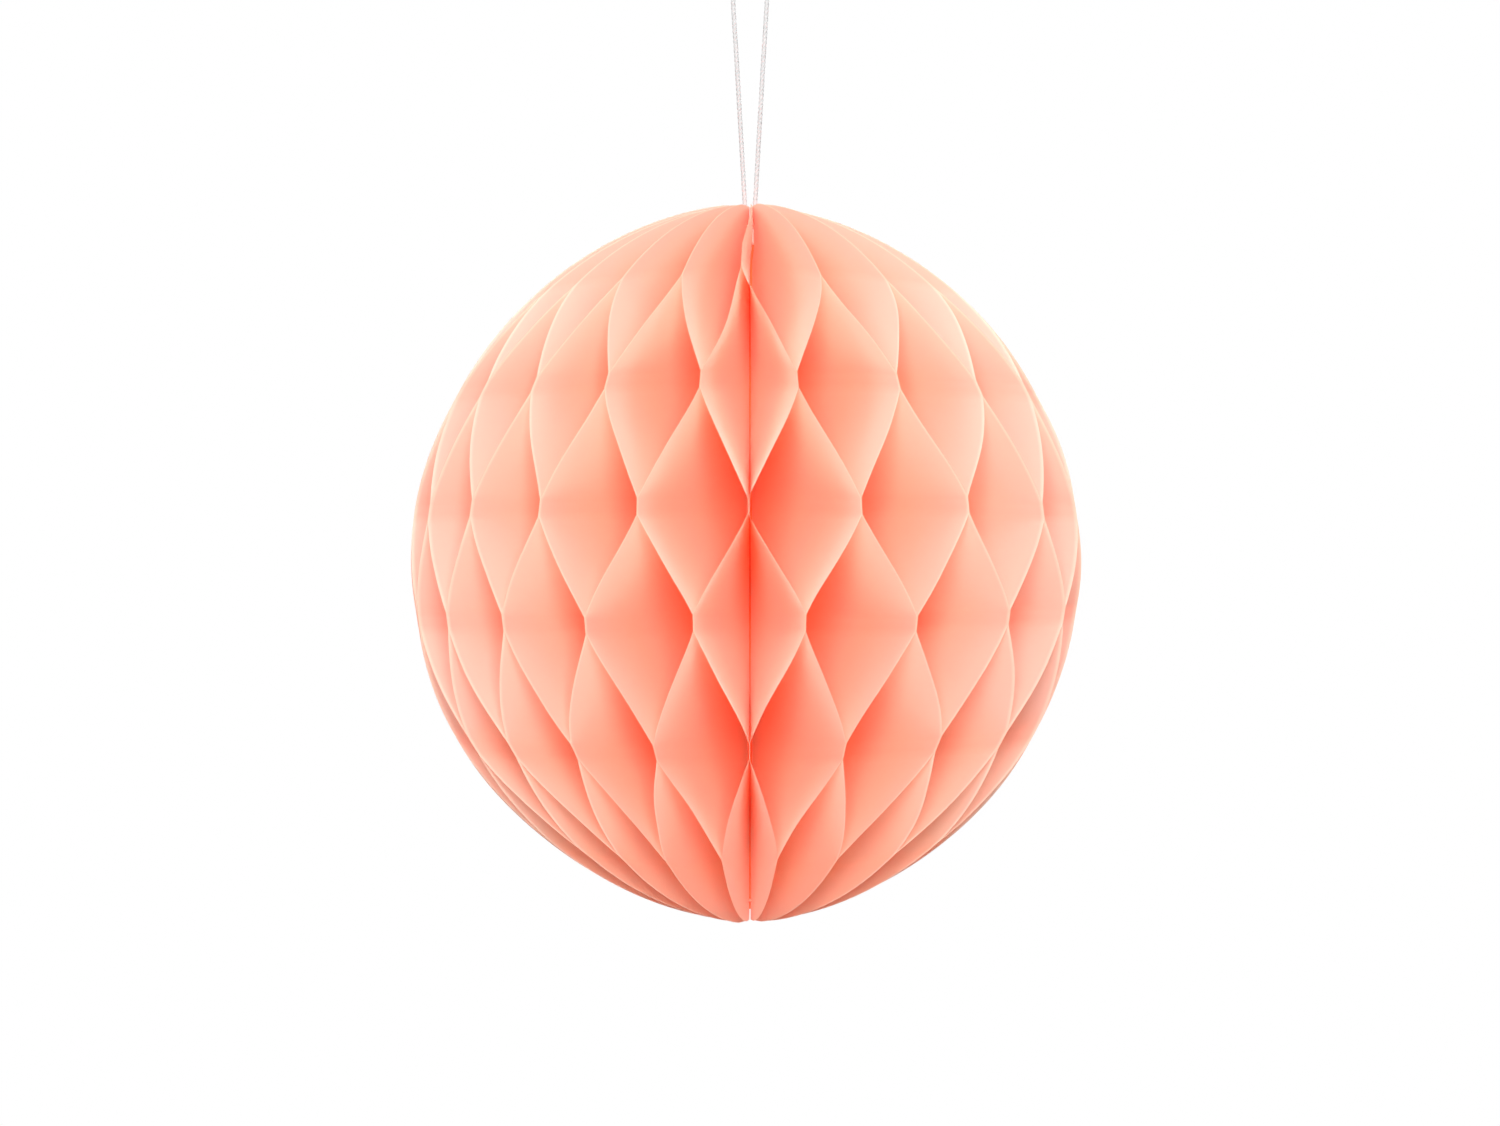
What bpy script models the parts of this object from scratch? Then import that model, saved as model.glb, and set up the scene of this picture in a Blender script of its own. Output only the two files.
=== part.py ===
"""A hanging honeycomb ball of tissue paper.

Forty leaves of tissue stand round an upright axis. Each leaf is glued to one neighbour
along every second glue row and to its other neighbour along the rows between, so it
zigzags from one to the other and the open cells show as diamonds. Two flat card covers,
held together by adhesive strips, close the ball along a seam at the back. A ring of
binding thread near each pole gathers the leaves, and a loop of string, knotted under the
upper ring, hangs the ball up.

Metres, +Z up. The origin is where the loop rests on its hook. The front faces -Y.
"""

import math

import bmesh
import bpy
from mathutils import Vector

# Ball: the outline of a leaf, from pole to pole
BALL_HEIGHT = 0.200
BALL_RADIUS = 0.0931
PROFILE_POWER = 0.57

# Leaves and the clearance that every touching pair keeps
LEAF_COUNT = 40
LEAF_THICKNESS = 0.0002
GAP = 0.0003
BORE_SLACK = 1.32

# Glue rows: their spacing at the axis, their width, and how far the pattern sits low
GLUE_PITCH = 0.034
GLUE_BAND = 0.0045
ROW_DROP = 0.0009

# The pull of the open cells draws the rim of each row towards the equator by this share
RIM_SQUASH = 0.08

# The leaves stand a little closer on the left than on the right
BUNCHING = math.radians(8)

# Steps from the last glue row to the pole, as shares of that height
CAP_STEPS = (0.35, 0.75, 0.98)
POLE_LIP = 0.0008

# Covers and the strips between them
CARD_THICKNESS = 0.0005
COVER_INSET = 0.003
COVER_TOP_INSET = 0.007
COVER_POINTS = 23
STRIP_THICKNESS = 0.0005
STRIP_WIDTH = 0.012
STRIP_LENGTH = 0.040
STRIP_RADIUS = 0.060
STRIP_HEIGHT = 0.035

# Binding threads, near each pole
THREAD_DIAMETER = 0.0010
THREAD_DEPTH = 0.006
RING_SEGMENTS = 18
RING_SIDES = 6

# String, from the hook to the knot under the upper binding thread
CORD_DIAMETER = 0.0013
LOOP_HEIGHT = 0.067
KNOT_RADIUS = 0.0033
KNOT_HEIGHT = 0.0044
KNOT_BEVEL = 0.0010
KNOT_SEGMENTS = 16
CORD_SPACING = 0.0031

# Where the right-hand strand runs: distance from the axis, and height above the ball
CORD_ROUTE = (
    (0.00095, -0.0065),
    (0.00105, -0.0030),
    (0.00140, 0.0000),
    (0.00255, 0.0200),
    (0.00370, 0.0400),
    (0.00475, 0.0575),
    (0.00490, 0.0618),
    (0.00430, 0.0649),
    (0.00245, 0.0670),
)

# Colours
TISSUE_COLOUR = (1.0, 0.36, 0.24, 1.0)
CARD_COLOUR = (0.93, 0.36, 0.25, 1.0)
STRIP_COLOUR = (0.85, 0.84, 0.80, 1.0)
THREAD_COLOUR = (0.95, 0.45, 0.31, 1.0)
STRING_COLOUR = (0.88, 0.88, 0.88, 1.0)

# Worked out from the sizes above
HALF_HEIGHT = BALL_HEIGHT / 2
PAIR_OFFSET = (LEAF_THICKNESS + GAP) / 2
BORE_RADIUS = BORE_SLACK * LEAF_COUNT * 2 * PAIR_OFFSET / (2 * math.pi)
COVER_OFFSET = STRIP_THICKNESS / 2 + GAP + CARD_THICKNESS / 2
SEAM_OFFSET = COVER_OFFSET + CARD_THICKNESS / 2 + GAP + LEAF_THICKNESS / 2
THREAD_HEIGHT = HALF_HEIGHT - THREAD_DEPTH
RING_RADIUS = BORE_RADIUS - GAP - THREAD_DIAMETER / 2
KNOT_TOP = THREAD_HEIGHT - THREAD_DIAMETER / 2 - GAP


def interface_angle(index):
    """Direction in which two neighbouring leaves meet, from the front to the right."""
    even = 2 * math.pi * index / LEAF_COUNT - math.pi
    return even + BUNCHING * (1 - math.cos(even))


SEAM_ANGLE = interface_angle(0)
COVER_START = GAP + (SEAM_OFFSET + PAIR_OFFSET) / math.sin(interface_angle(1) - SEAM_ANGLE)


def mix(a, b, share):
    return a + (b - a) * share


def outward(angle):
    return Vector((math.sin(angle), -math.cos(angle), 0))


def across(angle):
    return Vector((math.cos(angle), math.sin(angle), 0))


def rim_radius(height):
    """Outline of a leaf: its radius at a height above the equator."""
    share = min(abs(height) / HALF_HEIGHT, 1)
    return max(BALL_RADIUS * (1 - share**2) ** PROFILE_POWER, BORE_RADIUS + POLE_LIP)


def glue_rows():
    """(height at the axis, side) of each glue row, from the lowest up."""
    count = math.floor((HALF_HEIGHT - GLUE_BAND) / GLUE_PITCH + 0.5)
    return [((k + 0.5) * GLUE_PITCH - ROW_DROP, k % 2) for k in range(-count, count)]


def leaf_stations():
    """(height at the axis, side) up a leaf: side 0 is its even interface, 1 its odd one."""
    rows = glue_rows()
    (lowest, low_side), (highest, high_side) = rows[0], rows[-1]
    bottom, top = lowest - GLUE_BAND / 2, highest + GLUE_BAND / 2
    stations = [(mix(bottom, -HALF_HEIGHT, step), low_side) for step in reversed(CAP_STEPS)]
    for (height, side), above in zip(rows, rows[1:] + [None]):
        stations += [(height - GLUE_BAND / 2, side), (height + GLUE_BAND / 2, side)]
        if above:
            stations.append(((height + above[0]) / 2, 0.5))
    return stations + [(mix(top, HALF_HEIGHT, step), high_side) for step in CAP_STEPS]


def squash_at(height):
    """Share by which the rim is drawn to the equator: none at the poles."""
    last_row = max(abs(row) for row, _ in glue_rows())
    return RIM_SQUASH * min(1, (HALF_HEIGHT - abs(height)) / (HALF_HEIGHT - last_row))


def interface_offset(index, radius):
    """Distance of a leaf from the interface that it is glued to, wider at the covers."""
    if index % LEAF_COUNT:
        return PAIR_OFFSET
    share = (radius - BORE_RADIUS) / (COVER_START - BORE_RADIUS)
    return mix(PAIR_OFFSET, SEAM_OFFSET, min(max(share, 0), 1))


def leaf_point(number, height, side, radius, rim):
    """A point of a leaf's middle surface, between its interfaces number - 1 and number."""
    lower, upper = number - 1, number
    lower_share = side if lower % 2 else 1 - side
    angle = mix(interface_angle(upper), interface_angle(lower), lower_share)
    offset = mix(
        -interface_offset(upper, radius), interface_offset(lower, radius), lower_share
    )
    level = height * (1 - squash_at(height) * (radius / rim) ** 2)
    return outward(angle) * radius + across(angle) * offset + Vector((0, 0, level))


def make_material(name, colour, roughness):
    material = bpy.data.materials.new(name)
    material.use_nodes = True
    shader = material.node_tree.nodes["Principled BSDF"]
    shader.inputs["Base Color"].default_value = colour
    shader.inputs["Roughness"].default_value = roughness
    shader.inputs["Metallic"].default_value = 0.0
    material.diffuse_color = colour
    return material


def add_object(name, data, material, parent):
    part = bpy.data.objects.new(name, data)
    part.data.materials.append(material)
    part.parent = parent
    bpy.context.scene.collection.objects.link(part)
    return part


def add_thickness(part, thickness):
    solidify = part.modifiers.new("thickness", "SOLIDIFY")
    solidify.thickness = thickness
    solidify.offset = 0


def sheet_mesh(name, rows):
    """A mesh of quads through rows of points, each row as long as the next."""
    shape = bmesh.new()
    grid = [[shape.verts.new(point) for point in row] for row in rows]
    for row, above in zip(grid, grid[1:]):
        for left in range(len(row) - 1):
            corners = row[left], row[left + 1], above[left + 1], above[left]
            shape.faces.new(corners)
    mesh = bpy.data.meshes.new(name)
    shape.to_mesh(mesh)
    shape.free()
    return mesh


def outline_mesh(name, outline):
    """One flat face with the given (radius, height) corners, in the XZ plane."""
    shape = bmesh.new()
    shape.faces.new([shape.verts.new((radius, 0, height)) for radius, height in outline])
    mesh = bpy.data.meshes.new(name)
    shape.to_mesh(mesh)
    shape.free()
    return mesh


def add_leaf(number, material, parent):
    rows = []
    for height, side in leaf_stations():
        rim = rim_radius(height * (1 - squash_at(height)))
        radii = BORE_RADIUS, min(COVER_START, (BORE_RADIUS + rim) / 2), rim
        rows.append([leaf_point(number, height, side, radius, rim) for radius in radii])
    name = f"leaf_{number:02d}"
    leaf = add_object(name, sheet_mesh(name, rows), material, parent)
    add_thickness(leaf, LEAF_THICKNESS)


def add_in_seam(name, outline, thickness, offset, material, parent):
    """A flat piece that stands in the seam, offset sideways from its middle plane."""
    piece = add_object(name, outline_mesh(name, outline), material, parent)
    piece.location = across(SEAM_ANGLE) * offset
    piece.rotation_euler.z = SEAM_ANGLE - math.pi / 2
    add_thickness(piece, thickness)


def cover_outline():
    top = HALF_HEIGHT - COVER_TOP_INSET
    heights = [mix(-top, top, step / (COVER_POINTS - 1)) for step in range(COVER_POINTS)]
    rim = [(rim_radius(height) - COVER_INSET, height) for height in heights]
    return [(COVER_START, -top), *rim, (COVER_START, top)]


def strip_outline(middle):
    inner, outer = STRIP_RADIUS - STRIP_WIDTH / 2, STRIP_RADIUS + STRIP_WIDTH / 2
    low, high = middle - STRIP_LENGTH / 2, middle + STRIP_LENGTH / 2
    return [(inner, low), (outer, low), (outer, high), (inner, high)]


def add_binding_thread(name, height, material, parent):
    bpy.ops.mesh.primitive_torus_add(
        major_segments=RING_SEGMENTS,
        minor_segments=RING_SIDES,
        major_radius=RING_RADIUS,
        minor_radius=THREAD_DIAMETER / 2,
    )
    mesh = bpy.context.object.data
    bpy.data.objects.remove(bpy.context.object)
    mesh.shade_smooth()
    ring = add_object(name, mesh, material, parent)
    ring.location.z = height


def add_knot(material, parent):
    """The doubled string's knot, drawn up under the upper binding thread."""
    shape = bmesh.new()
    bmesh.ops.create_cone(
        shape,
        cap_ends=True,
        segments=KNOT_SEGMENTS,
        radius1=KNOT_RADIUS,
        radius2=KNOT_RADIUS,
        depth=KNOT_HEIGHT,
    )
    rims = [edge for edge in shape.edges if abs(edge.verts[0].co.z - edge.verts[1].co.z) < GAP]
    bmesh.ops.bevel(
        shape, geom=rims, offset=KNOT_BEVEL, segments=2, profile=0.5, affect="EDGES"
    )
    mesh = bpy.data.meshes.new("cord_knot")
    shape.to_mesh(mesh)
    shape.free()
    mesh.shade_smooth()
    knot = add_object("cord_knot", mesh, material, parent)
    knot.location.z = KNOT_TOP - KNOT_HEIGHT / 2


def smooth_curve(points, spacing):
    """Points about one spacing apart along a smooth curve through the given points."""
    ends = [points[0] * 2 - points[1], *points, points[-1] * 2 - points[-2]]
    fine = []
    for a, b, c, d in zip(ends, ends[1:], ends[2:], ends[3:]):
        for step in range(40):
            t = step / 40
            fine.append(
                (b * 2 + (c - a) * t + (a * 2 - b * 5 + c * 4 - d) * t**2
                 + (b * 3 - a - c * 3 + d) * t**3) / 2
            )
    fine.append(points[-1])
    runs = [(q - p).length for p, q in zip(fine, fine[1:])]
    count = round(sum(runs) / spacing)
    step, travelled, result = sum(runs) / count, 0.0, [fine[0]]
    for p, q, run in zip(fine, fine[1:], runs):
        while len(result) < count and travelled + run >= step * len(result):
            result.append(p.lerp(q, (step * len(result) - travelled) / run))
        travelled += run
    return [*result, fine[-1]]


def add_cord(material, parent):
    """The loop of string, from the knot up round the hook and back to the knot."""
    right = [Vector((x, 0, HALF_HEIGHT + height)) for x, height in CORD_ROUTE]
    top = Vector((0, 0, HALF_HEIGHT + LOOP_HEIGHT + CORD_DIAMETER / 2))
    left = [Vector((-point.x, 0, point.z)) for point in reversed(right)]
    points = smooth_curve([*right, top, *left], CORD_SPACING)
    curve = bpy.data.curves.new("hanging_cord", "CURVE")
    curve.dimensions = "3D"
    curve.bevel_depth = CORD_DIAMETER / 2
    curve.bevel_resolution = 2
    curve.use_fill_caps = True
    spline = curve.splines.new("POLY")
    spline.points.add(len(points) - 1)
    for place, point in zip(spline.points, points):
        place.co = (*point, 1)
    add_object("hanging_cord", curve, material, parent)


def build():
    for existing in list(bpy.data.objects):
        bpy.data.objects.remove(existing)
    ball = bpy.data.objects.new("ball_centre", None)
    ball.location.z = -LOOP_HEIGHT - HALF_HEIGHT
    bpy.context.scene.collection.objects.link(ball)

    tissue = make_material("tissue", TISSUE_COLOUR, 0.9)
    card = make_material("card", CARD_COLOUR, 0.8)
    tape = make_material("adhesive", STRIP_COLOUR, 0.5)
    thread = make_material("thread", THREAD_COLOUR, 0.9)
    string = make_material("string", STRING_COLOUR, 0.9)

    for number in range(1, LEAF_COUNT + 1):
        add_leaf(number, tissue, ball)
    for name, side in (("cover_card_left", 1), ("cover_card_right", -1)):
        offset = side * COVER_OFFSET
        add_in_seam(name, cover_outline(), CARD_THICKNESS, offset, card, ball)
    for name, side in (("adhesive_strip_upper", 1), ("adhesive_strip_lower", -1)):
        outline = strip_outline(side * STRIP_HEIGHT)
        add_in_seam(name, outline, STRIP_THICKNESS, 0, tape, ball)
    add_binding_thread("binding_thread_top", THREAD_HEIGHT, thread, ball)
    add_binding_thread("binding_thread_bottom", -THREAD_HEIGHT, thread, ball)
    add_knot(string, ball)
    add_cord(string, ball)


build()
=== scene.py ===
"""Looks of the hanging honeycomb ball: tissue leaves, card covers, string and studio.

Metres, +Z up. The origin is where the loop of string rests on its hook, and the front
faces -Y. Angles round the ball run from the front towards the right.
"""

import math

import bmesh
import bpy
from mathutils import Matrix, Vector, noise


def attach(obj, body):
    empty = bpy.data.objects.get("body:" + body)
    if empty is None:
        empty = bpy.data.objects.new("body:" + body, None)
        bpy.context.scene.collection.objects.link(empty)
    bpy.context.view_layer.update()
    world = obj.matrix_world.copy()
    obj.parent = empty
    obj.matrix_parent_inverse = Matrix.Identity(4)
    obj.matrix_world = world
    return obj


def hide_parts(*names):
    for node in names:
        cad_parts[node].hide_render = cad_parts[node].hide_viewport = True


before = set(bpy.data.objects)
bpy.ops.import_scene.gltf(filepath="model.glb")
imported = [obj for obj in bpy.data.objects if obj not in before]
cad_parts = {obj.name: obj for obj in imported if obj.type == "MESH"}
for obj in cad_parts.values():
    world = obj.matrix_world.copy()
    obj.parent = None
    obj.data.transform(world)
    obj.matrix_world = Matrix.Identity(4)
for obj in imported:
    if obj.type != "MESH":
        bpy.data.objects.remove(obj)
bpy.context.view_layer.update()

# Ball, as in the construction
BALL_HEIGHT = 0.200
BALL_RADIUS = 0.0931
PROFILE_POWER = 0.57
LEAF_COUNT = 40
GLUE_PITCH = 0.034
GLUE_BAND = 0.0045
RIM_SQUASH = 0.08
BUNCHING = math.radians(8)
LOOP_HEIGHT = 0.067
HALF_HEIGHT = BALL_HEIGHT / 2
BALL_CENTRE = Vector((0, 0, -LOOP_HEIGHT - HALF_HEIGHT))

# Glue rows at the axis, from the lowest up, with the side that each one joins
ROW_HEIGHTS = (-0.0863, -0.0514, -0.0163, 0.0153, 0.0497, 0.0829)
ROW_SIDES = (1, 0, 1, 0, 1, 0)

# Half the gap between two leaves in a glue row, and at the seam where the covers lie
PAIR_OFFSET = 0.00006
SEAM_OFFSET = 0.00145
COVER_START = 0.0114

# Where the leaves end inside: round the string, the knot and their own bound spine
CORD_BORE = 0.0018
CORD_GAP = 0.00072
KNOT_BORE = 0.0034
KNOT_LOW, KNOT_HIGH = 0.0880, 0.0936
SPINE_RADIUS = 0.0021
SPINE_LOW, SPINE_HIGH = -0.0965, 0.0886
SPINE_SINK = 0.0003

# Rim: how it closes at the poles, and how much further it stands out on the left
POLE_LIP = 0.0006
POLE_MARGIN = 0.0004
LOPSIDED = 0.012

# How far an open wall bends away from its glue lines before it runs straight
SLACK = 0.15

# Steps of the leaves' meshes
STEPS_OPEN = 18
STEPS_BAND = 4
STEPS_CAP = 16
STEPS_OUT = 30
STEPS_OUT_POWER = 0.9
SPINE_STEPS = 120
SPINE_SIDES_PER_LEAF = 4
SPINE_PLEAT = 0.06

# Hand-made unevenness of the glue lines, and the places in the noise that it comes from
NUDGE_ANGLE = math.radians(0.3)
NUDGE_HEIGHT = 0.0005
NUDGE_STEP = 7.31
NUDGE_STRETCH = 0.9
NUDGE_PLACE = 0.5
NUDGE_LIFT_PLACE = Vector((0, 0, 9.7))

# Waves in the open walls
WAVE_DEPTH = 0.0007
WAVE_LENGTH = 0.022
WAVE_STEP = 5.17

# The pair of leaves at the front, which lies over to the left round the top glue row, is
# lifted there, and bulges to the right beside the knot
FRONT_PAIR = 20
PAIR_TURN = math.radians(2.3)
PAIR_TURN_START, PAIR_TURN_FULL = 0.0600, 0.0780
PAIR_TURN_FALL, PAIR_TURN_END = 0.0870, 0.0957
PAIR_TURN_BACK = -0.5
PAIR_LIFT = 0.0022
PAIR_SHIFT = 0.0009
PAIR_SHIFT_START, PAIR_SHIFT_FULL = 0.0835, 0.0890
PAIR_SHIFT_NEAR = 0.0040

# How the opened ball hangs unevenly: glue lines leaning to the left of the right front,
# drawn together at the bottom, and higher on the right than on the left below the middle
LEAN = math.radians(1.1)
LEAN_PLACE, LEAN_WIDTH = math.radians(20), math.radians(14)
LEAN_TOP = 0.075
DRAW = math.radians(7)
DRAW_START, DRAW_FULL = 0.030, 0.0863
DRAW_POWER = 1.5
DRAW_UNEVEN = 0.35
TILT = 0.0016
TILT_PLACE, TILT_WIDTH = -0.035, 0.030

# String: plies that meet in valleys, and the points of its route as in the construction,
# each (sideways from the axis, height above the top of the ball)
CORD_DIAMETER = 0.0013
CORD_PLIES = 3
CORD_PITCH = 0.0040
CORD_VALLEY = 0.66
CORD_LOBE_POWER = 0.8
CORD_SPACING = 0.00030
CORD_SIDES = 24
CURVE_STEPS = 40
CORD_ROUTE = (
    (0.00095, -0.0065),
    (0.00105, -0.0030),
    (0.00140, 0.0000),
    (0.00255, 0.0200),
    (0.00370, 0.0400),
    (0.00475, 0.0575),
    (0.00490, 0.0618),
    (0.00430, 0.0649),
    (0.00245, 0.0670),
)

# Depth below the rim at which the tissue turns from a painted highlight at its cut edge to
# painted light, then its body colour and a paler painted fill deep inside. The painted light
# reaches deeper between glue rows, and less deep towards the bottom of the ball.
HIGHLIGHT_FROM, HIGHLIGHT_TO = 0.0004, 0.0011
PAINTED_LIGHT_FROM, PAINTED_LIGHT_TO = 0.004, 0.026
DEEP_FROM, DEEP_TO = 0.035, 0.075
PAINTED_LIGHT_DEEPER = 0.005
PAINTED_LIGHT_LOSS = 0.024
PAINTED_LIGHT_LOSS_START, PAINTED_LIGHT_LOSS_FULL = 0.030, 0.085

# Finish of the tissue
MOTTLE_SCALE, MOTTLE_DETAIL = 140.0, 1.0
MOTTLE_LOW, MOTTLE_HIGH = 0.3, 0.7
MOTTLE_DEPTH = 0.0015
FIBRE_SCALE, FIBRE_DETAIL = 900.0, 2.0
FIBRE_STRETCH = (1, 1, 0.35)
FIBRE_BUMP = 0.25
TISSUE_ROUGHNESS = 0.85
TISSUE_SPECULAR = 0.15
TISSUE_SHEEN = 1.0
TISSUE_SHEEN_ROUGHNESS = 0.5
TISSUE_THROUGH = 0.35

# Finish of the other materials
GRAIN_DETAIL = 6.0
GRAIN_DARKER = 0.92
GRAIN_BUMP = 0.3
BUMP_DISTANCE = 0.0001
FLOOR_GRAIN = 60.0
FLOOR_ROUGHNESS = 0.9

# Studio
CAMERA_DISTANCE = 0.745
CAMERA_LENS = 63.9
CAMERA_SENSOR = 36
CAMERA_CLIP_START, CAMERA_CLIP_END = 0.01, 20
FLOOR_DROP = 0.62
FLOOR_RADIUS = 1.1
FLOOR_SEGMENTS = 96
FLOOR_GLOW = 0.75
SKY_BELOW, SKY_ABOVE = 0.02, 0.25
LIGHT_BOUNCES = 40

# Softboxes, each at a place from the centre of the ball, which it faces
FRONT_SIZE = 0.26
FRONT_ENERGY = 5.35
FRONT_PLACE = (0, -CAMERA_DISTANCE - 0.02, 0.15)
SIDE_SIZE = 0.5
SIDE_ENERGY = 5.1
SIDE_RIGHT, SIDE_LEFT = (0.80, -0.40, 0.82), (-0.80, -0.40, 0.82)
TOP_SIZE = 0.9
TOP_ENERGY = 2.5
TOP_PLACE = (-0.35, -0.45, 1.0)
BACK_SIZE = 0.9
BACK_ENERGY = 8.5
BACK_PLACE = (0.10, 1.05, 0.50)

# Colours. The edge, pale and deep tissue colours are painted light, the spine's colour is
# painted shade and the knot's tint is painted warm light. Light that goes from wall to wall
# reddens the paper deep in the cells, so the painted fill there is written paler and more
# yellow
# Painted highlight along the cut rim of the tissue
RIM_PAINTED_HIGHLIGHT = (1.0, 0.82, 0.70, 1.0)
# Painted light near the rim, paler than the tissue's body colour
PAINTED_LIGHT_COLOUR = (1.0, 0.64, 0.545, 1.0)
PAPER_BODY = (1.0, 0.61, 0.45, 1.0)
# Paler painted fill deep in the cells, where little light reaches
DEEP_PAINTED_FILL = (1.0, 0.76, 0.40, 1.0)
PAPER_THROUGH = (1.0, 0.60, 0.42, 1.0)
PAPER_SHEEN = (1.0, 0.73, 0.60, 1.0)
# Painted shade: the spine at the axis is coloured darker than the tissue
SPINE_PAINTED_SHADE = (1.0, 0.31, 0.12, 1.0)
CARD_COLOUR = (0.95, 0.45, 0.32, 1.0)
TAPE_COLOUR = (0.85, 0.84, 0.80, 1.0)
THREAD_COLOUR = (0.95, 0.45, 0.31, 1.0)
STRING_COLOUR = (0.62, 0.62, 0.62, 1.0)
# Painted light: the string's knot is tinted warm, as if lit orange by the tissue round it
KNOT_PAINTED_LIGHT = (0.95, 0.88, 0.78, 1.0)
FLOOR_COLOUR = (0.93, 0.93, 0.93, 1.0)
FLOOR_PALE = (0.95, 0.95, 0.95, 1.0)
WHITE = (1, 1, 1, 1)


# Small helpers
def mix(a, b, share):
    return a + (b - a) * share


def clamp(value, low=0.0, high=1.0):
    return min(max(value, low), high)


def ease(share):
    return share * share * (3 - 2 * share)


def outward(angle):
    return Vector((math.sin(angle), -math.cos(angle), 0))


def across(angle):
    return Vector((math.cos(angle), math.sin(angle), 0))


def place_mesh(shape, name, material):
    """Put a finished shape into the scene as an object with one material."""
    mesh = bpy.data.meshes.new(name)
    shape.to_mesh(mesh)
    shape.free()
    mesh.materials.append(material)
    piece = bpy.data.objects.new(name, mesh)
    bpy.context.scene.collection.objects.link(piece)
    return piece


# Shape of the leaves
def interface_angle(index):
    """Where the leaf of this number meets the next one; they stand closer on the left."""
    even = 2 * math.pi * index / LEAF_COUNT - math.pi
    return even + BUNCHING * (1 - math.cos(even))


def rim_radius(height):
    """The ball's outline, which ends in a small lip at the poles."""
    share = min(abs(height) / HALF_HEIGHT, 1)
    return max(BALL_RADIUS * (1 - share**2) ** PROFILE_POWER, KNOT_BORE + POLE_LIP)


def squash_at(height):
    """How much nearer the middle a row lies at the rim than at the axis, as a share."""
    last_row = ROW_HEIGHTS[-1] if height > 0 else -ROW_HEIGHTS[0]
    return RIM_SQUASH * min(1, (HALF_HEIGHT - abs(height)) / (HALF_HEIGHT - last_row))


def inner_radius(height, angle=math.pi / 2):
    """The leaves end in their bound spine, or above it round the knot and the two strands.

    The strands hang side by side, so leaves that face the front or the back reach further in.
    """
    spine = SPINE_RADIUS - SPINE_SINK
    if height < KNOT_HIGH:
        return mix(spine, KNOT_BORE, clamp((height - KNOT_LOW) / KNOT_BORE + 1))
    bore = min(CORD_BORE, CORD_GAP / max(abs(math.cos(angle)), CORD_GAP))
    return mix(KNOT_BORE, bore, clamp((height - KNOT_HIGH) / CORD_BORE))


def leaf_stations():
    """(height, side, openness) up a leaf; openness is 0 where it is glued, 1 between."""
    stations = []
    low, high = -HALF_HEIGHT + POLE_MARGIN, HALF_HEIGHT - POLE_MARGIN
    bottom, top = ROW_HEIGHTS[0] - GLUE_BAND / 2, ROW_HEIGHTS[-1] + GLUE_BAND / 2
    for step in range(STEPS_CAP):
        share = math.sin(math.pi / 2 * step / STEPS_CAP)
        stations.append((mix(low, bottom, 1 - math.sqrt(1 - share**2)), ROW_SIDES[0], 0))
    rows = list(zip(ROW_HEIGHTS, ROW_SIDES))
    for (height, side), above in zip(rows, rows[1:] + [None]):
        start, end = height - GLUE_BAND / 2, height + GLUE_BAND / 2
        for step in range(STEPS_BAND):
            stations.append((mix(start, end, step / STEPS_BAND), side, 0))
        if above:
            next_start = above[0] - GLUE_BAND / 2
            for step in range(STEPS_OPEN):
                t = step / STEPS_OPEN
                share = mix(t, ease(t), SLACK)
                openness = math.sin(math.pi * t)
                stations.append((mix(end, next_start, t), mix(side, above[1], share), openness))
    for step in range(STEPS_CAP + 1):
        share = math.sin(math.pi / 2 * step / STEPS_CAP)
        stations.append((mix(top, high, share), ROW_SIDES[-1], 0))
    return stations


def pair_shift(number, height, radius, rim):
    """How far the front pair, near the knot, bulges to the right behind its rims."""
    if number not in (FRONT_PAIR, FRONT_PAIR + 1):
        return 0.0
    along = clamp((height - PAIR_SHIFT_START) / (PAIR_SHIFT_FULL - PAIR_SHIFT_START))
    return PAIR_SHIFT * along * min(1, radius / PAIR_SHIFT_NEAR) * (1 - radius / rim)


def pair_turn(height):
    """How much the front pair lies over to the left: 1 most, and below 0 to the right."""
    if height < PAIR_TURN_FALL:
        return ease(clamp((height - PAIR_TURN_START) / (PAIR_TURN_FULL - PAIR_TURN_START)))
    fallen = (height - PAIR_TURN_FALL) / (PAIR_TURN_END - PAIR_TURN_FALL)
    return max(1 - fallen, PAIR_TURN_BACK)


def interface_nudge(index, height):
    """(angle, height) by which a glue line strays from its even place."""
    if index % LEAF_COUNT == 0:
        return 0.0, 0.0
    even = interface_angle(index)
    place = Vector((index * NUDGE_STEP, height / GLUE_PITCH * NUDGE_STRETCH, NUDGE_PLACE))
    angle = NUDGE_ANGLE * 2 * noise.noise(place)
    lift = NUDGE_HEIGHT * 2 * noise.noise(place + NUDGE_LIFT_PLACE)
    lean = LEAN * math.exp(-(((even - LEAN_PLACE) / LEAN_WIDTH) ** 2))
    lean *= clamp((LEAN_TOP - height) / GLUE_PITCH)
    drawn = clamp((-height - DRAW_START) / (DRAW_FULL - DRAW_START)) ** DRAW_POWER
    drawn *= DRAW * math.sin(even) * (1 - DRAW_UNEVEN * math.sin(even))
    drawn *= (1 + math.cos(even)) / 2
    if index == FRONT_PAIR:
        angle -= PAIR_TURN * pair_turn(height)
        lift += PAIR_LIFT * max(pair_turn(height), 0)
    tilt = TILT * math.sin(even) * math.exp(-(((height - TILT_PLACE) / TILT_WIDTH) ** 2))
    return angle - lean - drawn, lift + tilt


def interface_offset(index, radius):
    """Half the gap between two leaves where they meet; the covers lie in the seam."""
    if index % LEAF_COUNT:
        return PAIR_OFFSET
    share = clamp((radius - CORD_BORE) / (COVER_START - CORD_BORE))
    return mix(PAIR_OFFSET, SEAM_OFFSET, share)


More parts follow.
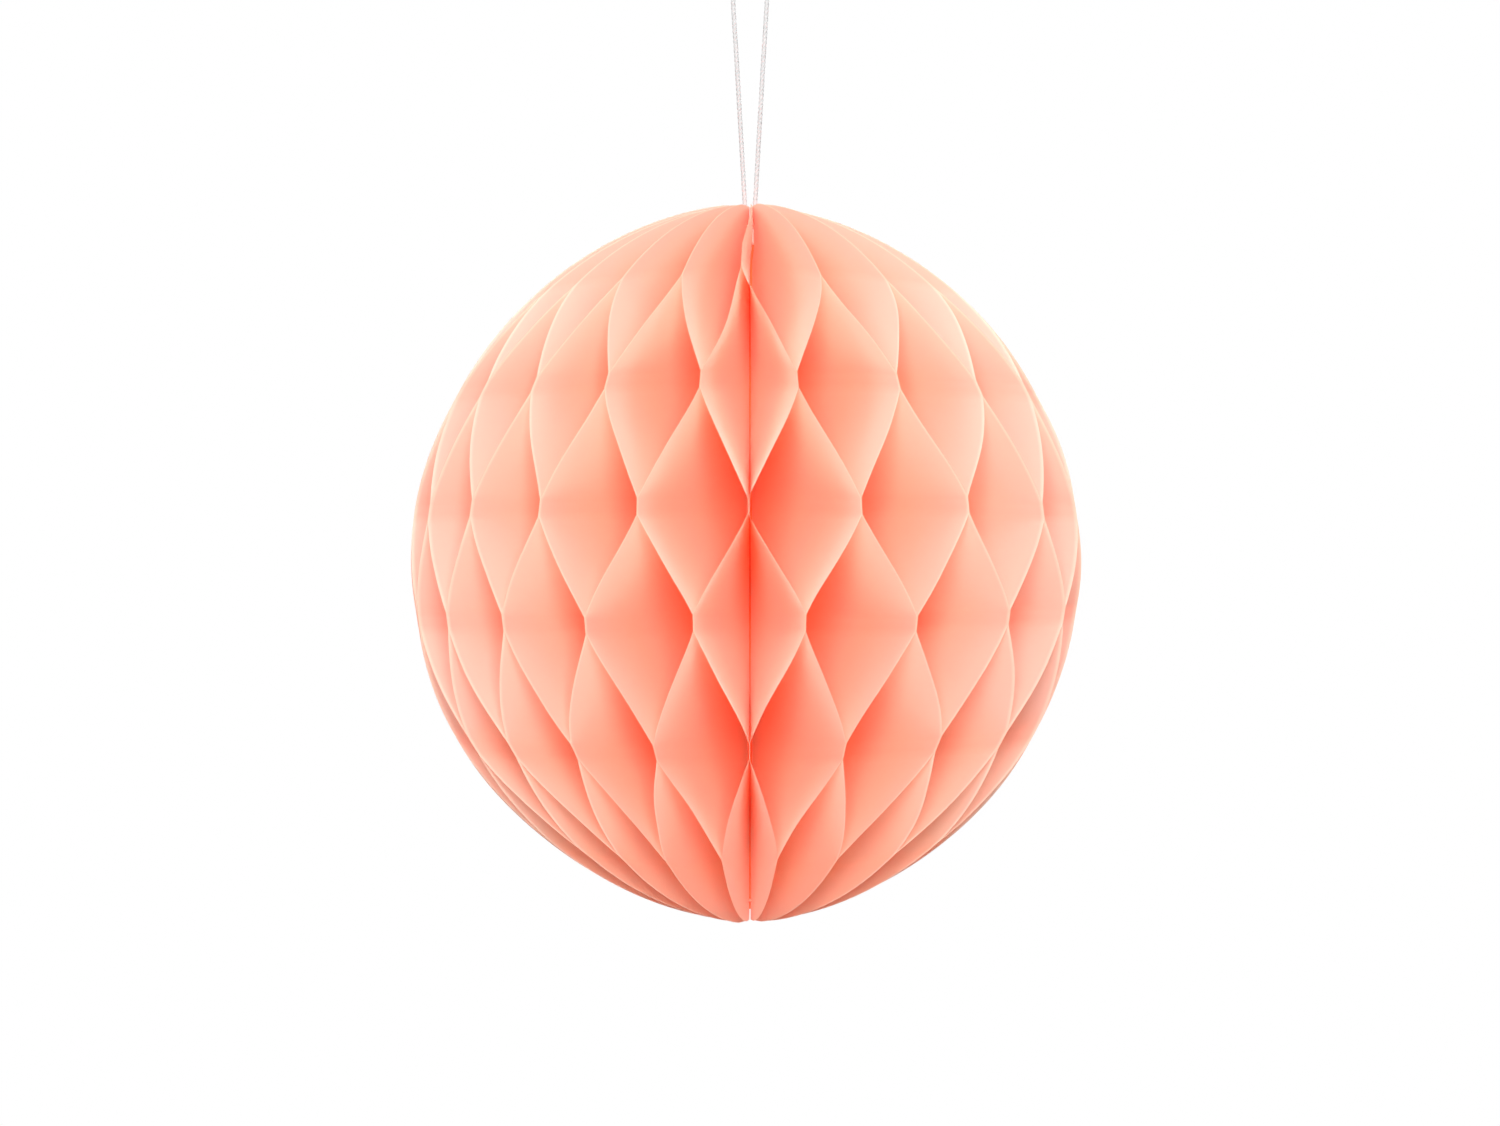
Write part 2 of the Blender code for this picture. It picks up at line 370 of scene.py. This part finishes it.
def leaf_point(number, height, side, openness, out):
    """A point of leaf number, and how far it lies inside the rim.

    Out runs from 0 at the leaf's inner edge to 1 at its rim.
    """
    lower, upper = number - 1, number
    lower_share = side if lower % 2 else 1 - side
    lower_nudge, upper_nudge = interface_nudge(lower, height), interface_nudge(upper, height)
    angle = mix(
        interface_angle(upper) + upper_nudge[0],
        interface_angle(lower) + lower_nudge[0],
        lower_share,
    )
    lift = mix(upper_nudge[1], lower_nudge[1], lower_share)
    squash = squash_at(height)
    rim = rim_radius(height * (1 - squash)) * (1 - LOPSIDED * math.sin(angle))
    radius = mix(inner_radius(height, angle), rim, out)
    offset = mix(
        -interface_offset(upper, radius), interface_offset(lower, radius), lower_share
    )
    offset += pair_shift(number, height, radius, rim)
    share = radius / rim
    place = Vector((number * WAVE_STEP, height / WAVE_LENGTH, radius / WAVE_LENGTH))
    offset += WAVE_DEPTH * openness * share * noise.noise(place)
    level = height * (1 - squash * share**2) + lift * share
    point = outward(angle) * radius + across(angle) * offset + Vector((0, 0, level))
    return point, rim - radius


def out_steps():
    """Steps from the inner edge to the rim, closer together near the rim."""
    shares = [math.sin(math.pi / 2 * step / STEPS_OUT) for step in range(STEPS_OUT + 1)]
    return [share**STEPS_OUT_POWER for share in shares]


def painted_light_loss(height):
    """How much less deep the painted light reaches at this height."""
    along = (-height - PAINTED_LIGHT_LOSS_START) / (PAINTED_LIGHT_LOSS_FULL - PAINTED_LIGHT_LOSS_START)
    return PAINTED_LIGHT_LOSS * clamp(along)


def make_leaf(number, material):
    """One sheet of tissue, whose points keep their depth below the rim, and the depth that
    places the painted light, for its material.
    """
    shape = bmesh.new()
    depths, shades, grid = [], [], []
    for height, side, openness in leaf_stations():
        row = []
        lost = painted_light_loss(height)
        for out in out_steps():
            point, depth = leaf_point(number, height, side, openness, out)
            row.append(shape.verts.new(point + BALL_CENTRE))
            depths.append(depth)
            # How deep the painted light reaches: deeper between glue rows, less deep low on the
            # ball
            shades.append(depth - PAINTED_LIGHT_DEEPER * openness + lost)
        grid.append(row)
    for row, above in zip(grid, grid[1:]):
        for k in range(len(row) - 1):
            shape.faces.new((row[k], row[k + 1], above[k + 1], above[k]))
    leaf = place_mesh(shape, f"tissue_leaf_{number:02d}", material)
    leaf.data.shade_smooth()
    for name, values in (("depth", depths), ("shade", shades)):
        leaf.data.attributes.new(name, "FLOAT", "POINT").data.foreach_set("value", values)
    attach(leaf, "root")
    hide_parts(f"leaf_{number:02d}")


def make_spine(material):
    """The leaves' straight edges, bound together into a slender pleated column."""
    shape = bmesh.new()
    sides = LEAF_COUNT * SPINE_SIDES_PER_LEAF
    rings = []
    for step in range(SPINE_STEPS + 1):
        height = mix(SPINE_LOW, SPINE_HIGH, step / SPINE_STEPS)
        ring = []
        for k in range(sides):
            angle = 2 * math.pi * k / sides
            pleat = SPINE_PLEAT * math.cos(LEAF_COUNT * angle)
            radius = (inner_radius(height) + SPINE_SINK) * (1 + pleat)
            point = outward(angle) * radius + Vector((0, 0, height))
            ring.append(shape.verts.new(point + BALL_CENTRE))
        rings.append(ring)
    for ring, above in zip(rings, rings[1:]):
        for k in range(sides):
            n = (k + 1) % sides
            shape.faces.new((ring[k], ring[n], above[n], above[k]))
    shape.faces.new(list(reversed(rings[0])))
    shape.faces.new(rings[-1])
    spine = place_mesh(shape, "bound_spine", material)
    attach(spine, "root")


# Shader graphs
class Graph:
    """A material's node tree, with the nodes that these materials share."""

    def __init__(self, name):
        self.material = bpy.data.materials.new(name)
        self.material.use_nodes = True
        self.tree = self.material.node_tree
        self.shader = self.tree.nodes["Principled BSDF"]
        self.output = self.tree.nodes["Material Output"]

    def node(self, kind, **settings):
        node = self.tree.nodes.new(kind)
        for key, value in settings.items():
            setattr(node, key, value)
        return node

    def link(self, source, target):
        self.tree.links.new(source, target)

    def attribute(self, name):
        return self.node("ShaderNodeAttribute", attribute_name=name).outputs["Fac"]

    def noise(self, scale, detail=4.0, stretch=(1, 1, 1)):
        coordinates = self.node("ShaderNodeTexCoord")
        mapping = self.node("ShaderNodeMapping")
        mapping.inputs["Scale"].default_value = stretch
        texture = self.node("ShaderNodeTexNoise")
        texture.inputs["Scale"].default_value = scale
        texture.inputs["Detail"].default_value = detail
        self.link(coordinates.outputs["Object"], mapping.inputs["Vector"])
        self.link(mapping.outputs["Vector"], texture.inputs["Vector"])
        return texture.outputs["Fac"]

    def span(self, value, low, high, new_low=0.0, new_high=1.0):
        node = self.node("ShaderNodeMapRange", clamp=True)
        for name, number in zip(
            ("From Min", "From Max", "To Min", "To Max"), (low, high, new_low, new_high)
        ):
            node.inputs[name].default_value = number
        self.link(value, node.inputs["Value"])
        return node.outputs["Result"]

    def blend(self, share, first, second):
        node = self.node("ShaderNodeMix", data_type="RGBA")
        self.link(share, node.inputs["Factor"])
        for socket, value in ((node.inputs["A"], first), (node.inputs["B"], second)):
            if isinstance(value, tuple):
                socket.default_value = value
            else:
                self.link(value, socket)
        return node.outputs["Result"]

    def add(self, first, second):
        node = self.node("ShaderNodeMath", operation="ADD")
        self.link(first, node.inputs[0])
        self.link(second, node.inputs[1])
        return node.outputs[0]

    def bump(self, height, strength):
        node = self.node("ShaderNodeBump")
        node.inputs["Strength"].default_value = strength
        node.inputs["Distance"].default_value = BUMP_DISTANCE
        self.link(height, node.inputs["Height"])
        return node.outputs["Normal"]

    def mix_shaders(self, first, second):
        """Show a mix of two shaders; the share of the second is the node's factor."""
        node = self.node("ShaderNodeMixShader")
        self.link(first, node.inputs[1])
        self.link(second, node.inputs[2])
        self.link(node.outputs["Shader"], self.output.inputs["Surface"])
        return node.inputs["Fac"]


def tissue_material():
    """Tissue that lets light through, with painted light in its colour: a painted highlight at
    its cut rim, painted light near the rim, its body colour further in and a paler painted fill
    deep inside.
    """
    graph = Graph("peach_tissue")
    mottle = graph.noise(MOTTLE_SCALE, MOTTLE_DETAIL)
    mottle = graph.span(mottle, MOTTLE_LOW, MOTTLE_HIGH, -MOTTLE_DEPTH, MOTTLE_DEPTH)
    shade = graph.add(graph.attribute("shade"), mottle)
    # Paler painted fill deep in the cells
    deep = graph.span(shade, DEEP_FROM, DEEP_TO)
    # Painted light near the rim, as deep as the shade attribute says
    painted_light = graph.span(shade, PAINTED_LIGHT_FROM, PAINTED_LIGHT_TO, 1.0, 0.0)
    # Painted highlight along the cut rim
    edge = graph.span(graph.attribute("depth"), HIGHLIGHT_FROM, HIGHLIGHT_TO, 1.0, 0.0)
    colour = graph.blend(deep, PAPER_BODY, DEEP_PAINTED_FILL)
    colour = graph.blend(painted_light, colour, PAINTED_LIGHT_COLOUR)
    colour = graph.blend(edge, colour, RIM_PAINTED_HIGHLIGHT)
    fibres = graph.noise(FIBRE_SCALE, FIBRE_DETAIL, FIBRE_STRETCH)
    normal = graph.bump(fibres, FIBRE_BUMP)
    graph.link(colour, graph.shader.inputs["Base Color"])
    graph.link(normal, graph.shader.inputs["Normal"])
    graph.shader.inputs["Roughness"].default_value = TISSUE_ROUGHNESS
    graph.shader.inputs["Specular IOR Level"].default_value = TISSUE_SPECULAR
    graph.shader.inputs["Sheen Weight"].default_value = TISSUE_SHEEN
    graph.shader.inputs["Sheen Roughness"].default_value = TISSUE_SHEEN_ROUGHNESS
    graph.shader.inputs["Sheen Tint"].default_value = PAPER_SHEEN
    through = graph.node("ShaderNodeBsdfTranslucent")
    through.inputs["Color"].default_value = PAPER_THROUGH
    graph.link(normal, through.inputs["Normal"])
    share = graph.mix_shaders(graph.shader.outputs["BSDF"], through.outputs["BSDF"])
    share.default_value = TISSUE_THROUGH
    return graph.material


def plain_material(name, colour, roughness, grain):
    """A matt material with a fine grain in its colour and its surface."""
    graph = Graph(name)
    texture = graph.noise(grain, GRAIN_DETAIL)
    darker = tuple(channel * GRAIN_DARKER for channel in colour[:3]) + (1.0,)
    graph.link(graph.blend(texture, darker, colour), graph.shader.inputs["Base Color"])
    graph.shader.inputs["Roughness"].default_value = roughness
    graph.link(graph.bump(texture, GRAIN_BUMP), graph.shader.inputs["Normal"])
    return graph.material


def background_rays(tree):
    """1 for the rays that see the background, straight or in a gloss, and 0 for its light."""
    rays = tree.nodes.new("ShaderNodeLightPath")
    seen = rays.outputs["Is Camera Ray"]
    for kind in ("Is Glossy Ray", "Is Transmission Ray"):
        larger = tree.nodes.new("ShaderNodeMath")
        larger.operation = "MAXIMUM"
        tree.links.new(seen, larger.inputs[0])
        tree.links.new(rays.outputs[kind], larger.inputs[1])
        seen = larger.outputs[0]
    return seen


def floor_material():
    """White paper that is seen nearly as white as the backdrop, with the shadow left on it."""
    graph = Graph("white_paper_floor")
    colour = graph.blend(graph.noise(FLOOR_GRAIN), FLOOR_COLOUR, FLOOR_PALE)
    graph.link(colour, graph.shader.inputs["Base Color"])
    graph.shader.inputs["Roughness"].default_value = FLOOR_ROUGHNESS
    glow = graph.node("ShaderNodeEmission")
    share = graph.mix_shaders(graph.shader.outputs["BSDF"], glow.outputs["Emission"])
    graph.link(graph.span(background_rays(graph.tree), 0.0, 1.0, 0.0, FLOOR_GLOW), share)
    return graph.material


# String
def smooth_curve(points, spacing):
    """Points about one spacing apart along a smooth curve through the given points."""
    ends = [points[0] * 2 - points[1], *points, points[-1] * 2 - points[-2]]
    fine = []
    for a, b, c, d in zip(ends, ends[1:], ends[2:], ends[3:]):
        for step in range(CURVE_STEPS):
            t = step / CURVE_STEPS
            fine.append(
                (b * 2 + (c - a) * t + (a * 2 - b * 5 + c * 4 - d) * t**2
                 + (b * 3 - a - c * 3 + d) * t**3) / 2
            )
    fine.append(points[-1])
    runs = [(q - p).length for p, q in zip(fine, fine[1:])]
    count = round(sum(runs) / spacing)
    step, travelled, result = sum(runs) / count, 0.0, [fine[0]]
    for p, q, run in zip(fine, fine[1:], runs):
        while len(result) < count and travelled + run >= step * len(result):
            result.append(p.lerp(q, (step * len(result) - travelled) / run))
        travelled += run
    return [*result, fine[-1]]


def cord_path():
    right = [Vector((x, 0, HALF_HEIGHT + height)) for x, height in CORD_ROUTE]
    top = Vector((0, 0, HALF_HEIGHT + LOOP_HEIGHT + CORD_DIAMETER / 2))
    left = [Vector((-point.x, 0, point.z)) for point in reversed(right)]
    points = smooth_curve([*right, top, *left], CORD_SPACING)
    return [point + BALL_CENTRE for point in points]


def make_cord(material):
    """Three plies laid round each other, as one tube with a lobed, turning section."""
    path = cord_path()
    shape = bmesh.new()
    rings, turned = [], 0.0
    side = Vector((0, 1, 0))
    for index, point in enumerate(path):
        before, after = path[max(index - 1, 0)], path[min(index + 1, len(path) - 1)]
        ahead = (after - before).normalized()
        up = ahead.cross(side)
        turned += 2 * math.pi * CORD_SPACING / CORD_PITCH
        ring = []
        for k in range(CORD_SIDES):
            angle = 2 * math.pi * k / CORD_SIDES
            lobe = abs(math.cos((angle - turned) * CORD_PLIES / 2)) ** CORD_LOBE_POWER
            radius = CORD_DIAMETER / 2 * mix(CORD_VALLEY, 1.0, lobe)
            direction = side * math.cos(angle) + up * math.sin(angle)
            ring.append(shape.verts.new(point + direction * radius))
        rings.append(ring)
    for ring, following in zip(rings, rings[1:]):
        for k in range(CORD_SIDES):
            n = (k + 1) % CORD_SIDES
            shape.faces.new((ring[k], following[k], following[n], ring[n]))
    shape.faces.new(rings[0])
    shape.faces.new(list(reversed(rings[-1])))
    bmesh.ops.recalc_face_normals(shape, faces=shape.faces)
    cord = place_mesh(shape, "twisted_string", material)
    cord.data.shade_smooth()
    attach(cord, "root")
    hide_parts("hanging_cord")


# Camera, floor, backdrop and lamps
def make_camera():
    """A level camera at the height of the ball's centre."""
    camera = bpy.data.cameras.new("camera")
    camera.lens = CAMERA_LENS
    camera.sensor_width = CAMERA_SENSOR
    camera.clip_start, camera.clip_end = CAMERA_CLIP_START, CAMERA_CLIP_END
    holder = bpy.data.objects.new("camera", camera)
    holder.location = BALL_CENTRE + Vector((0, -CAMERA_DISTANCE, 0))
    holder.rotation_euler = (math.pi / 2, 0, 0)
    bpy.context.scene.collection.objects.link(holder)
    bpy.context.scene.camera = holder


def make_floor():
    shape = bmesh.new()
    bmesh.ops.create_circle(
        shape, cap_ends=True, segments=FLOOR_SEGMENTS, radius=FLOOR_RADIUS
    )
    floor = place_mesh(shape, "floor", floor_material())
    floor.location = BALL_CENTRE - Vector((0, 0, HALF_HEIGHT + FLOOR_DROP))


def make_world():
    """Soft white light, more from above than from below; the backdrop is seen as white."""
    world = bpy.data.worlds.new("studio")
    world.use_nodes = True
    tree = world.node_tree
    coordinates = tree.nodes.new("ShaderNodeTexCoord")
    parts = tree.nodes.new("ShaderNodeSeparateXYZ")
    tree.links.new(coordinates.outputs["Generated"], parts.inputs[0])
    sky = tree.nodes.new("ShaderNodeMapRange")
    sky.inputs["From Min"].default_value = -1.0
    sky.inputs["To Min"].default_value = SKY_BELOW
    sky.inputs["To Max"].default_value = SKY_ABOVE
    tree.links.new(parts.outputs["Z"], sky.inputs["Value"])
    brighter = tree.nodes.new("ShaderNodeMath")
    brighter.operation = "MAXIMUM"
    tree.links.new(sky.outputs["Result"], brighter.inputs[0])
    tree.links.new(background_rays(tree), brighter.inputs[1])
    background = tree.nodes["Background"]
    background.inputs["Color"].default_value = WHITE
    tree.links.new(brighter.outputs[0], background.inputs["Strength"])
    bpy.context.scene.world = world


def make_softbox(name, size, energy, place):
    light = bpy.data.lights.new(name, "AREA")
    light.size = size
    light.energy = energy
    box = bpy.data.objects.new(name, light)
    box.location = BALL_CENTRE + Vector(place)
    direction = BALL_CENTRE - box.location
    box.rotation_euler = direction.to_track_quat("-Z", "Y").to_euler()
    bpy.context.scene.collection.objects.link(box)


make_camera()
make_cord(plain_material("white_string", STRING_COLOUR, roughness=0.8, grain=2500.0))
tissue = tissue_material()
for number in range(1, LEAF_COUNT + 1):
    make_leaf(number, tissue)
# The spine's colour is painted shade, as dark as the deep cells round the axis
make_spine(plain_material("tissue_spine_painted_shade", SPINE_PAINTED_SHADE, roughness=0.9, grain=800.0))

# Pieces that keep their shape from the construction and get their finish here
card = plain_material("peach_card", CARD_COLOUR, roughness=0.7, grain=700.0)
tape = plain_material("adhesive_strip", TAPE_COLOUR, roughness=0.4, grain=500.0)
thread = plain_material("binding_thread", THREAD_COLOUR, roughness=0.8, grain=3000.0)
# The knot's warm tint is painted light from the orange tissue round it
knot = plain_material("string_knot", KNOT_PAINTED_LIGHT, roughness=0.8, grain=2500.0)
for node, material in (
    ("cover_card_left", card),
    ("cover_card_right", card),
    ("adhesive_strip_upper", tape),
    ("adhesive_strip_lower", tape),
    ("binding_thread_top", thread),
    ("binding_thread_bottom", thread),
    ("cord_knot", knot),
):
    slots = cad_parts[node].data.materials
    slots.clear()
    slots.append(material)

make_floor()
make_world()
make_softbox("front_softbox", FRONT_SIZE, FRONT_ENERGY, FRONT_PLACE)
make_softbox("top_softbox", TOP_SIZE, TOP_ENERGY, TOP_PLACE)
make_softbox("back_softbox", BACK_SIZE, BACK_ENERGY, BACK_PLACE)
make_softbox("right_softbox", SIDE_SIZE, SIDE_ENERGY, SIDE_RIGHT)
make_softbox("left_softbox", SIDE_SIZE, SIDE_ENERGY, SIDE_LEFT)
bpy.context.scene.view_settings.view_transform = "Standard"
bpy.context.scene.cycles.diffuse_bounces = LIGHT_BOUNCES
bpy.context.scene.cycles.transmission_bounces = LIGHT_BOUNCES
bpy.context.scene.cycles.max_bounces = LIGHT_BOUNCES
